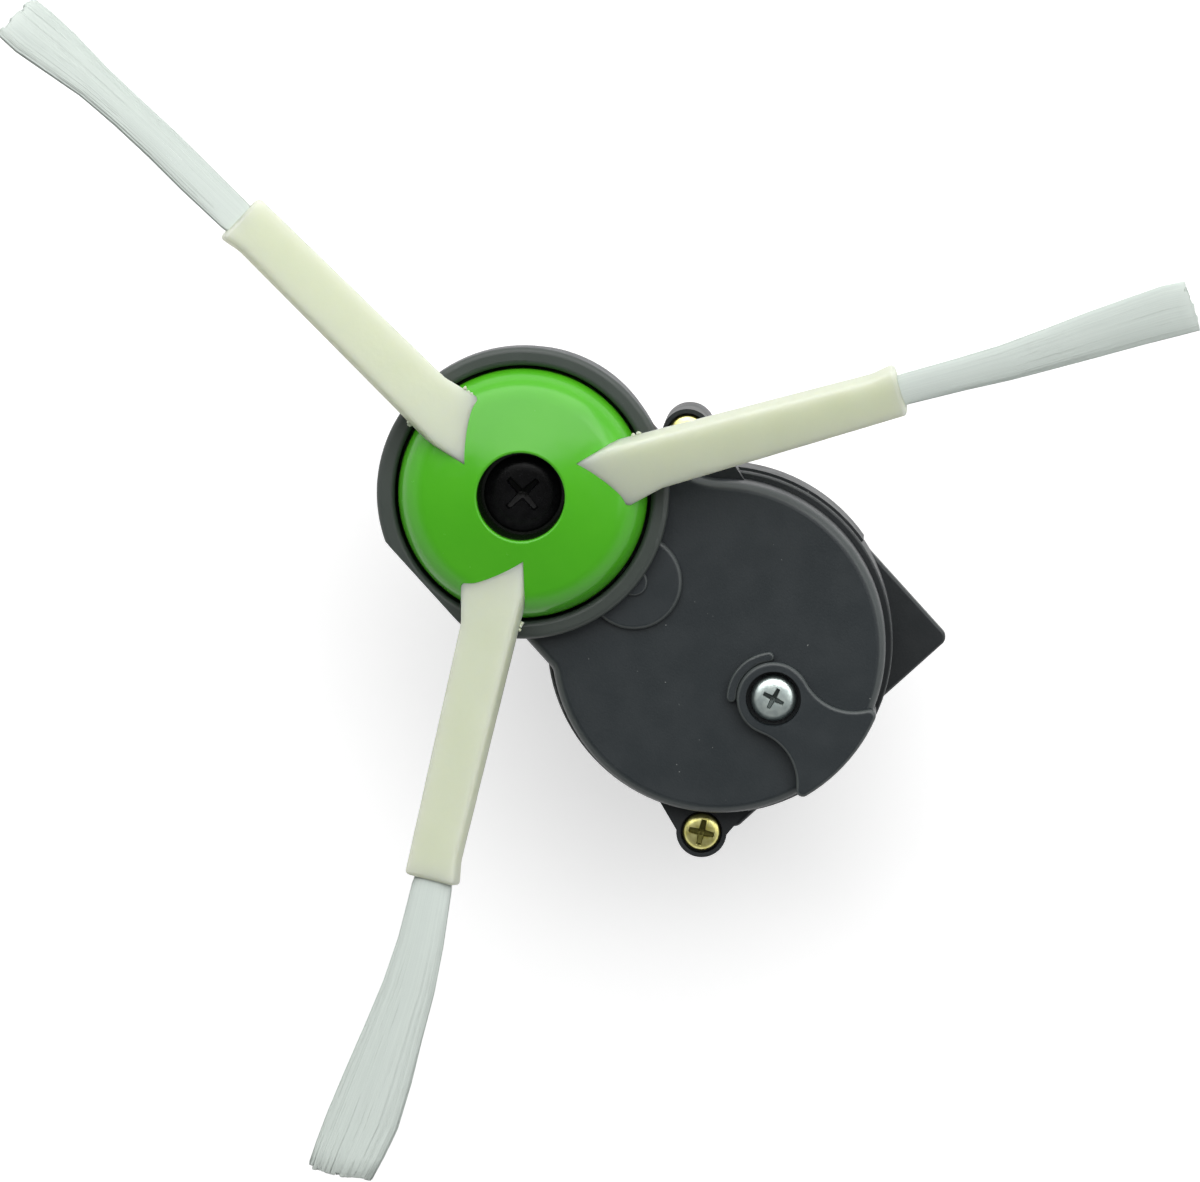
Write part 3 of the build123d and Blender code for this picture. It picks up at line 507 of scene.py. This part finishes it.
def bristle_tuft(number, turn):
    """One tuft: thin four-sided nylon filaments round a core that stands for most of the ones inside.

    A filament keeps its place (a, b) in the section, from -1 to 1 each way. At each station it lies at
    across = right + (a + 1) / 2 * (left - right) and height = b * thickness / 2. Most filaments are in the
    outer layer, where b is nearly sqrt(1 - round * a ** 2), and the rest are anywhere inside it. Towards the
    tip a moves to the middle of its clump, by the fourth power of the way along, and each clump ends a little
    short. The core is the same with (a, b) on a blunt oval, whose height is that of the outer layer's inside.
    """
    random = np.random.default_rng(TUFT_SEED + number)
    right, left = TUFT_RIGHT[number - 1], TUFT_LEFT[number - 1]
    start, end = TUFT_STATIONS[0], TUFT_END[number - 1]
    stations = len(TUFT_STATIONS)
    clump_middle = (np.arange(CLUMPS) + 0.5) / CLUMPS * 2.0 - 1.0

    def clump_of(a):
        """Number of the clump at each place across the tuft."""
        return np.clip(((a + 1.0) / 2.0 * CLUMPS).astype(int), 0, CLUMPS - 1)

    def lay(a, b, short, pull):
        """Points of lines with places a and b in the section, each ending short of the tip."""
        share = (np.array(TUFT_STATIONS) - start) / (TUFT_STATIONS[-1] - start)
        reach = start + share * (end - short[:, None] - start)
        t = np.clip(reach / end, 0.0, 1.0)
        place = a[:, None] + (clump_middle[clump_of(a)] - a)[:, None] * pull * t ** 4
        low = np.interp(reach, TUFT_STATIONS, right)
        high = np.interp(reach, TUFT_STATIONS, left)
        across = low + (place + 1.0) / 2.0 * (high - low)
        height = -ARM_T / 2.0 + b[:, None] * (TUFT_ROOT_T + (TUFT_TIP_T - TUFT_ROOT_T) * t) / 2.0
        return np.stack([ARM_STATIONS[-1] + reach, across, height], axis=-1), t

    a = random.uniform(-1.0, 1.0, FILAMENTS)
    inner = random.uniform(0.0, 1.0, FILAMENTS) < INNER_SHARE
    inside = random.uniform(0.0, CORE_THICK, FILAMENTS)
    layer = np.where(inner, inside, random.uniform(CORE_THICK, 1.0, FILAMENTS))
    b = np.sqrt(1.0 - TUFT_ROUND * a ** 2) * random.choice((-1.0, 1.0), FILAMENTS) * layer
    short = random.uniform(0.0, CLUMP_SHORT, CLUMPS)[clump_of(a)]
    short += np.abs(random.normal(0.0, FILAMENT_SHORT, FILAMENTS))
    line, t = lay(a, b, short, CLUMP_PULL)
    sway = random.normal(0.0, SWAY, (FILAMENTS, 2)) * np.array([1.0, SWAY_RISE])
    bend = np.sin(pi * t * random.uniform(*SWAY_WAVES, FILAMENTS)[:, None])
    line[:, :, 1:] += sway[:, None, :] * bend[:, :, None]
    angle = np.arange(FILAMENT_SIDES) * 2.0 * pi / FILAMENT_SIDES
    ring = FILAMENT_R * np.stack([np.zeros(FILAMENT_SIDES), np.cos(angle), np.sin(angle)], axis=-1)
    local = line[:, :, None, :] + ring

    angle = np.arange(CORE_SIDES) * 2.0 * pi / CORE_SIDES
    wide = CORE_WIDE * np.cos(angle)
    thick = CORE_THICK * np.sign(np.sin(angle)) * np.abs(np.sin(angle)) ** CORE_BLUNT
    thick = thick * np.sqrt(1.0 - TUFT_ROUND * wide ** 2)
    core = lay(wide, thick, np.full(CORE_SIDES, CORE_SHORT), 0.0)[0].transpose(1, 0, 2)

    points = np.concatenate([local.reshape(-1, 3), core.reshape(-1, 3)])
    faces = tube_faces(stations, FILAMENT_SIDES, FILAMENTS)
    faces += tube_faces(stations, CORE_SIDES, first=local.size // 3)
    origin, axes = arm_axes(turn)
    made = piece(f"tuft_filaments_{number}", origin + points @ axes, faces, "bristle", "brush",
                 [f"bristle_tuft_{number}"], crease=180.0)
    own = random.uniform(0.0, 1.0, FILAMENTS)[:, None, None] * np.ones(local.shape[:3])
    along = t[:, :, None] * np.ones(local.shape[:3])
    strand = np.stack([own.ravel(), along.ravel()], axis=-1)
    marks(made, "strand", np.concatenate([strand, np.full((core.size // 3, 2), CORE_SHADE)]))


def arm_flash():
    """Crumbs of moulding flash where the arms leave the hub, each a lumpy ball.

    Up the ball the ring's radius is sin(polar). Both it and the height swell by waves round and up the ball.
    """
    random = np.random.default_rng(FLASH_SEED)
    up = np.linspace(pi - FLASH_POLE, FLASH_POLE, FLASH_RINGS)
    polar, angle = np.meshgrid(up, np.arange(FLASH_SIDES) * 2.0 * pi / FLASH_SIDES, indexing="ij")
    points = []
    for index, side, reach, height in FLASH_SPOTS:
        origin, axes = arm_axes(ARM_TURNS[index])
        edge = np.interp(reach, ARM_STATIONS, ARM_LEFT if side > 0 else ARM_RIGHT)
        for _ in range(FLASH_CRUMBS):
            stray = random.uniform(-1.0, 1.0, 2) * FLASH_STRAY
            middle = np.array([reach + stray[0], side * (edge + FLASH_OUT), height + stray[1]])
            size = random.uniform(*FLASH_SIZE)
            phase = random.uniform(0.0, 2.0 * pi, 3)
            lumps = FLASH_LUMPS[0] * np.sin(3.0 * angle + phase[0]) * np.sin(2.0 * polar + phase[1])
            swell = size * (1.0 + lumps + FLASH_LUMPS[1] * np.cos(5.0 * polar + phase[2]))
            ball = np.stack([swell * np.sin(polar) * np.cos(angle), swell * np.sin(polar) * np.sin(angle),
                             swell * np.cos(polar)], axis=-1)
            points.append(origin + (middle + ball.reshape(-1, 3)) @ axes)
    faces = tube_faces(FLASH_RINGS, FLASH_SIDES, len(points))
    made = piece("arm_flash", np.concatenate(points), faces, "arm", "brush", crease=180.0)
    made.data.materials[0] = ivory_elastomer("ivory_flash", FLASH_MILKY)


def screw_points(at, seat, turn, head, stem, recess):
    """Rings of a pan-head screw from the middle of its crown, over the head and down the stem to its tip.

    The crown's height is side + (height - side) * sqrt(1 - (r / R) ** 4). Within the cross recess, which is
    four tapering slots, it is lower by the slots' depth, which is greatest in the middle. On the thread the
    radius is a triangle wave of the height over the pitch plus the angle's share of a turn.
    """
    head_r, head_h = head
    neck_r, thread_r, neck_l, thread_l, pitch = stem
    slot_l, slot_w, depth = recess
    angle = -np.arange(SCREW_SIDES) * 2.0 * pi / SCREW_SIDES

    r = head_r * np.sin(np.linspace(CROWN_START, 1.0, CROWN_RINGS) * pi / 2.0)[:, None] * np.ones(SCREW_SIDES)
    side = HEAD_SIDE * head_h
    z = side + (head_h - side) * np.sqrt(np.clip(1.0 - (r / head_r) ** 4, 0.0, 1.0))
    x, y = r * np.cos(angle - turn), r * np.sin(angle - turn)
    sunk = np.zeros_like(z)
    for along, across in ((np.abs(x), np.abs(y)), (np.abs(y), np.abs(x))):
        half = slot_w * (1.0 - SLOT_TAPER * along / slot_l)
        inside = np.clip((half - across) / SLOT_SIDE_SOFT, 0.0, 1.0)
        inside = inside * np.clip((slot_l - along) / SLOT_END_SOFT, 0.0, 1.0)
        slot = inside * depth * (SLOT_DEEP - SLOT_RISE * along / slot_l)
        z = np.minimum(z, head_h - slot - (1.0 - inside) * (head_h - z))
        sunk = np.maximum(sunk, inside)

    below = [(head_r, side * 0.5), (head_r, HEAD_RIM), (head_r - HEAD_RIM, 0.0), (neck_r, 0.0)]
    plain_r, plain_z = np.array([*below, (neck_r, -neck_l)]).T[:, :, None] * np.ones(SCREW_SIDES)

    drop = np.linspace(0.0, 1.0, THREAD_RINGS)[:, None]
    turns = drop * thread_l / pitch - angle / (2.0 * pi)
    ridge = 1.0 - 2.0 * np.abs(turns % 1.0 - 0.5)
    thread = thread_r - THREAD_DEPTH * pitch * (1.0 - ridge ** 2)
    thread = thread * np.clip((1.0 - drop) / TIP_LENGTH + TIP_R, 0.0, 1.0)
    thread_z = -neck_l - drop * thread_l * np.ones(SCREW_SIDES)

    r = np.concatenate([r, plain_r, thread])
    z = np.concatenate([z, plain_z, thread_z])
    # Mask of the cross recess, where painted shade goes
    shaded_recess = np.concatenate([sunk, np.zeros_like(plain_r), np.zeros_like(thread)])
    return np.stack([at[0] + r * np.cos(angle), at[1] + r * np.sin(angle), seat + z], axis=-1), shaded_recess


def screws(name, places, kind, slot, body, node):
    """Screws of one kind as one piece."""
    grids = [screw_points(at, seat, radians(turn), *kind) for at, seat, turn in places]
    rows = len(grids[0][0])
    points = np.concatenate([grid for grid, shaded_recess in grids])
    made = piece(name, points, tube_faces(rows, SCREW_SIDES, len(places)), slot, body, [node], crease=35.0)
    shaded_recess = np.concatenate([shaded_recess for grid, shaded_recess in grids]).ravel()
    marks(made, "recess", np.stack([shaded_recess, shaded_recess], axis=-1))


for number, turn in enumerate(ARM_TURNS, start=1):
    soft_arm(number, turn)
    bristle_tuft(number, turn)
arm_flash()
screws("mounting_screw_head", MOUNTING_PLACES, MOUNTING_SCREW, "bright_steel", "housing", "mounting_screw")
screws("case_screw_heads", CASE_PLACES, CASE_SCREW, "gold_steel", "housing", "case_screws")
screws("brush_screw_head", BRUSH_PLACES, BRUSH_SCREW, "black_steel", "brush", "brush_screw")


def camera():
    """Camera that looks down on the brush as the photo does, through a long lens."""
    lean = CAMERA_LEAN[0] * IMAGE_RIGHT + CAMERA_LEAN[1] * IMAGE_UP
    back = (lean + Vector((0.0, 0.0, 1.0))).normalized()
    right = IMAGE_UP.cross(back).normalized()
    up = back.cross(right)
    lens = bpy.data.cameras.new("camera")
    lens.lens = LENS
    lens.sensor_width = SENSOR
    made = bpy.data.objects.new("camera", lens)
    turned = Matrix((right, up, back)).transposed().to_4x4()
    made.matrix_world = Matrix.Translation(CAMERA_AT) @ turned
    bpy.context.collection.objects.link(made)
    bpy.context.scene.camera = made


def softbox(name, towards, elevation, distance, width, height, watts):
    """Wide lamp aimed at the module from a direction in the plan and a height in degrees."""
    rise = radians(elevation)
    out = (towards.normalized() * cos(rise) + Vector((0.0, 0.0, sin(rise)))).normalized()
    across = Vector((0.0, 0.0, 1.0)).cross(out).normalized()
    lamp = bpy.data.lights.new(name, "AREA")
    lamp.shape = "RECTANGLE"
    lamp.size, lamp.size_y = width, height
    lamp.energy = watts
    made = bpy.data.objects.new(name, lamp)
    turned = Matrix((across, out.cross(across), out)).transposed().to_4x4()
    made.matrix_world = Matrix.Translation(SOFTBOX_AIM + out * distance) @ turned
    bpy.context.collection.objects.link(made)


def backdrop_rays(start):
    """One for what the camera sees directly, and one for what it sees mirrored or through something clear."""
    camera_ray = start.node("ShaderNodeLightPath", {}, {}, "Is Camera Ray")
    glossy_ray = start.node("ShaderNodeLightPath", {}, {}, "Is Glossy Ray")
    clear_ray = start.node("ShaderNodeLightPath", {}, {}, "Is Transmission Ray")
    return camera_ray, start.math("MAXIMUM", glossy_ray, clear_ray)


def floor():
    """Pale floor under the tower's end: white to the camera apart from a soft shadow."""
    mesh = bpy.data.meshes.new("floor")
    z = (FLOOR_Z - FLOOR_GAP) * MM
    corners = [(FLOOR_HALF * x, FLOOR_HALF * y, z) for x, y in ((-1, -1), (1, -1), (1, 1), (-1, 1))]
    mesh.from_pydata(corners, [], [(0, 1, 2, 3)])
    constants = {"Roughness": 0.9, "Specular IOR Level": 0.0, "Emission Strength": 1.0,
                 "Base Color": (FLOOR_GREY, FLOOR_GREY, FLOOR_GREY, 1.0)}
    material, shader, place = finish("floor_white", constants)
    camera_ray, mirrored = backdrop_rays(place)
    glow = (FLOOR_GLOW, FLOOR_GLOW, FLOOR_GLOW)
    feed(shader, {"Emission Color": tint(camera_ray + mirrored, (0.0, 0.0, 0.0), glow)})
    mesh.materials.append(material)
    made = bpy.data.objects.new("floor", mesh)
    bpy.context.collection.objects.link(made)


def surroundings(strength):
    """Even studio fill. The camera sees it as white, and surfaces mirror it as white below an open top."""
    world = bpy.data.worlds.new("studio")
    world.use_nodes = True
    bpy.context.scene.world = world
    tree = world.node_tree
    start = Shade(tree)
    rise = axis_of(start.node("ShaderNodeTexCoord", {}, {}, "Object"), "Z")
    camera_ray, mirrored = backdrop_rays(start)
    seen = start.math("MAXIMUM", camera_ray, mirrored * ramp(rise, *OPEN_TOP))
    backdrop = tree.nodes["Background"]
    backdrop.inputs["Color"].default_value = (1.0, 1.0, 1.0, 1.0)
    tree.links.new((strength + (1.0 - strength) * seen).socket, backdrop.inputs["Strength"])


camera()
floor()
surroundings(FILL)
softbox("key_softbox", IMAGE_UP, elevation=47.0, distance=0.8, width=1.3, height=0.9, watts=9.8)
softbox("side_softbox", IMAGE_RIGHT + 0.3 * IMAGE_UP, elevation=42.0, distance=0.8, width=0.6, height=0.6,
        watts=1.2)
bpy.context.scene.view_settings.view_transform = "Standard"
